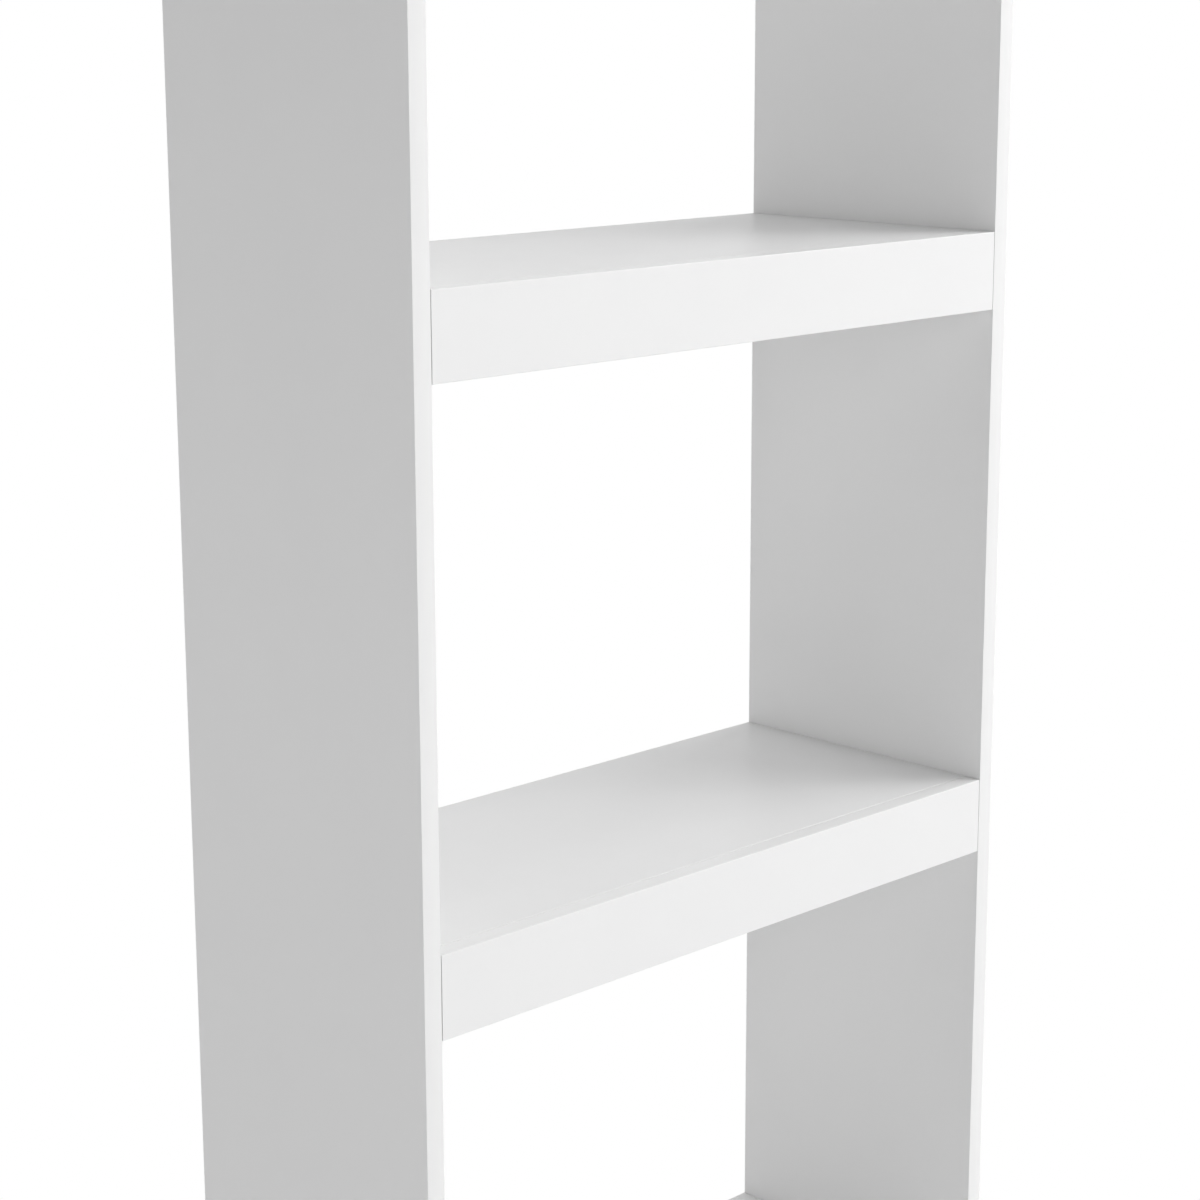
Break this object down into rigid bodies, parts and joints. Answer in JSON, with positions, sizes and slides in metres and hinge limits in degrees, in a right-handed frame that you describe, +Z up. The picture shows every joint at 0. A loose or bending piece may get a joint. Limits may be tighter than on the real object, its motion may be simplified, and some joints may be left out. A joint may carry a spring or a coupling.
{
  "type": "shelving unit",
  "caption": "Tall open-backed shelving unit in white faced board: two side panels, level shelves with deep flush front rails, joined by cam locks and dowels.",
  "frame": {"origin": "on the floor, under the middle of the unit's outer box", "axes": "+X to the unit's right seen from the front, -Y towards the front, +Z up"},
  "size_m": [0.614, 0.255, 1.845],
  "materials": {
    "white_faced_board": "chipboard with a white melamine face, satin",
    "white_edge_band": "white glued edge band, satin",
    "zinc_casting": "bare zinc die casting, satin",
    "plated_steel": "bright zinc-plated steel",
    "beech": "bare beech, matte",
    "glide_plastic": "hard white plastic, satin"
  },
  "bodies": {
    "root": {"left_side_panel": "white_faced_board", "left_side_panel_edge_bands": "white_edge_band", "left_floor_glides": "glide_plastic", "left_wall_bracket": "plated_steel", "right_side_panel": "white_faced_board", "right_side_panel_edge_bands": "white_edge_band", "right_floor_glides": "glide_plastic", "right_wall_bracket": "plated_steel", "wall_bracket_screws": "plated_steel", "bottom_shelf": "white_faced_board", "bottom_shelf_rear_edge_band": "white_edge_band", "bottom_front_rail": "white_faced_board", "bottom_front_rail_edge_bands": "white_edge_band", "bottom_cam_locks": "zinc_casting", "bottom_cam_bolts": "plated_steel", "bottom_shelf_end_dowels": "beech", "bottom_front_rail_dowels": "beech", "lower_shelf": "white_faced_board", "lower_shelf_rear_edge_band": "white_edge_band", "lower_front_rail": "white_faced_board", "lower_front_rail_edge_bands": "white_edge_band", "lower_cam_locks": "zinc_casting", "lower_cam_bolts": "plated_steel", "lower_shelf_end_dowels": "beech", "lower_front_rail_dowels": "beech", "middle_shelf": "white_faced_board", "middle_shelf_rear_edge_band": "white_edge_band", "middle_front_rail": "white_faced_board", "middle_front_rail_edge_bands": "white_edge_band", "middle_cam_locks": "zinc_casting", "middle_cam_bolts": "plated_steel", "middle_shelf_end_dowels": "beech", "middle_front_rail_dowels": "beech", "upper_shelf": "white_faced_board", "upper_shelf_rear_edge_band": "white_edge_band", "upper_front_rail": "white_faced_board", "upper_front_rail_edge_bands": "white_edge_band", "upper_cam_locks": "zinc_casting", "upper_cam_bolts": "plated_steel", "upper_shelf_end_dowels": "beech", "upper_front_rail_dowels": "beech", "top_shelf": "white_faced_board", "top_shelf_rear_edge_band": "white_edge_band", "top_front_rail": "white_faced_board", "top_front_rail_edge_bands": "white_edge_band", "top_cam_locks": "zinc_casting", "top_cam_bolts": "plated_steel", "top_shelf_end_dowels": "beech", "top_front_rail_dowels": "beech"}
  },
  "joints": []
}
